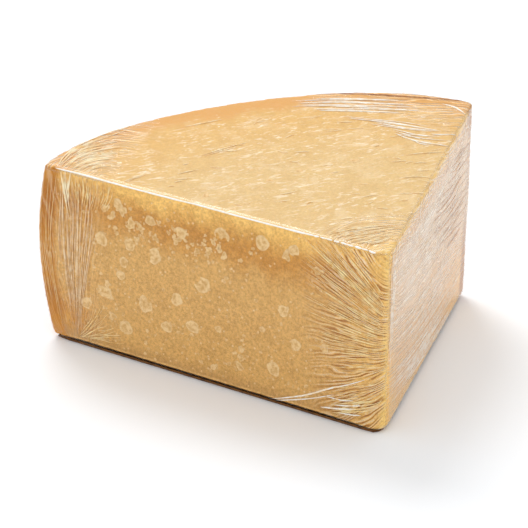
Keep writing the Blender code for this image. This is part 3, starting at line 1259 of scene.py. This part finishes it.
def model_crystal():
    """A disc 1 mm in radius: sunk edge, raised brim and a slightly sunk middle."""
    bpy.ops.object.select_all(action="DESELECT")
    bpy.ops.mesh.primitive_circle_add(vertices=BRIM_SIDES, radius=MM, fill_type="NGON")
    disc = bpy.context.active_object
    bpy.ops.object.mode_set(mode="EDIT")
    bpy.ops.mesh.select_all(action="SELECT")
    bpy.ops.mesh.inset(thickness=0.18 * MM)
    bpy.ops.transform.translate(value=(0.0, 0.0, SUNK + BRIM_RISE))
    bpy.ops.mesh.inset(thickness=0.30 * MM)
    bpy.ops.transform.translate(value=(0.0, 0.0, -CRYSTAL_DIP))
    bpy.ops.mesh.poke()
    bpy.ops.object.mode_set(mode="OBJECT")
    radii = np.hypot(*points_of(disc.data)[:, :2].T) / MM
    set_number(disc.data, "brim", np.clip(1.0 - np.abs(radii - BRIM_RADIUS) / 0.2, 0.0, 1.0))
    return disc


def place_crystal(pattern, place, radius, unevenness=1.0):
    """A copy of the pattern, set on the cheese with an uneven outline of its own."""
    _, nearest, normal, _ = cheese.closest_point_on_mesh(place)
    copied = copy_of(pattern, "crystal")
    points = points_of(copied.data)
    angle = np.arctan2(points[:, 1], points[:, 0])
    swell = np.ones(len(points))
    for lobes in (2, 3, 5):
        height = unevenness * draw.uniform(0.03, 0.09)
        swell += height * np.sin(lobes * angle + draw.uniform(0.0, math.tau))
    points[:, 0] *= swell * radius
    points[:, 1] *= swell * radius
    points[:, 2] -= SUNK
    frame_of_face = normal.to_track_quat("Z", "Y").to_matrix()
    points = points @ np.array(frame_of_face).T + np.array(nearest)
    copied.data.vertices.foreach_set("co", points.ravel())
    return copied


# How many, how a place is drawn, the least and largest radius, and the unevenness
SCATTERED = [
    (120, lambda: (draw.uniform(30, 162), draw.uniform(3, 78)), (0.35, 1.1), 2.5),
    (70, lambda: (draw.normal(118, 22), draw.normal(63, 6)), (0.35, 1.3), 3.2),
    (90, lambda: (draw.uniform(40, 158), draw.uniform(3, 34)), (0.3, 0.8), 2.5),
]
pattern = model_crystal()
copies = []
for face, places in ((on_front, CRYSTALS_FRONT), (on_top, CRYSTALS_TOP)):
    copies += [place_crystal(pattern, face(u, v), size * NOTED_SCALE) for u, v, size in places]
for u, v, size in CRUMBS:
    copies.append(place_crystal(pattern, on_front(u, v), size, CRUMB_UNEVENNESS))
for count, draw_place, sizes, unevenness in SCATTERED:
    for _ in range(count):
        place = on_front(*draw_place())
        copies.append(place_crystal(pattern, place, draw.uniform(*sizes), unevenness))
bpy.data.objects.remove(pattern, do_unlink=True)
bpy.ops.object.select_all(action="DESELECT")
for copied in copies:
    copied.select_set(True)
bpy.context.view_layer.objects.active = copies[0]
bpy.ops.object.join()
crystals = bpy.context.active_object
crystals.name = "crystals"
bpy.ops.object.shade_smooth()
print("crystal faces:", len(crystals.data.polygons))

# %% [markdown]
# A crystal cluster has nearly the paste's colour, a little paler and drier. Its edge fades
# into the paste because the disc's rim is sunk below the surface.

# %% The finish of the crystals
def crystal_finish():
    paint = Finish("pale crystals")
    grain = paint.noise(600.0, 3.0, 0.6)
    share = paint.spread(grain, 0.34, 0.66)
    colour = paint.blend(share, screen(210, 163, 94), screen(238, 202, 144))
    colour = paint.blend(paint.times(paint.number("brim"), 0.5), colour, screen(244, 214, 162))
    shader = paint.principled({
        "Base Color": colour,
        "Roughness": 0.6,
        "Specular IOR Level": 0.1,
        "Normal": paint.bumped(grain, 0.4, 0.2 * MM),
    })
    return paint.finish(shader)


crystals.data.materials.append(crystal_finish())
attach(crystals, "root")
print("crystals finished")

# %% [markdown]
# The size is gathered, the solid's box and the dressed model's, so that the two can be
# compared. The helper shapes aren't part of the object and are taken away first.

# %% Keep the size and finish
for helper in (form, sharp):
    bpy.data.objects.remove(helper, do_unlink=True)

dressed_low, dressed_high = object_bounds()
sizes = {
    "solid": [list(solid_low), list(solid_high)],
    "dressed": [list(dressed_low), list(dressed_high)],
}
print("dressed, mm:", [round(side / MM, 1) for side in dressed_high - dressed_low])
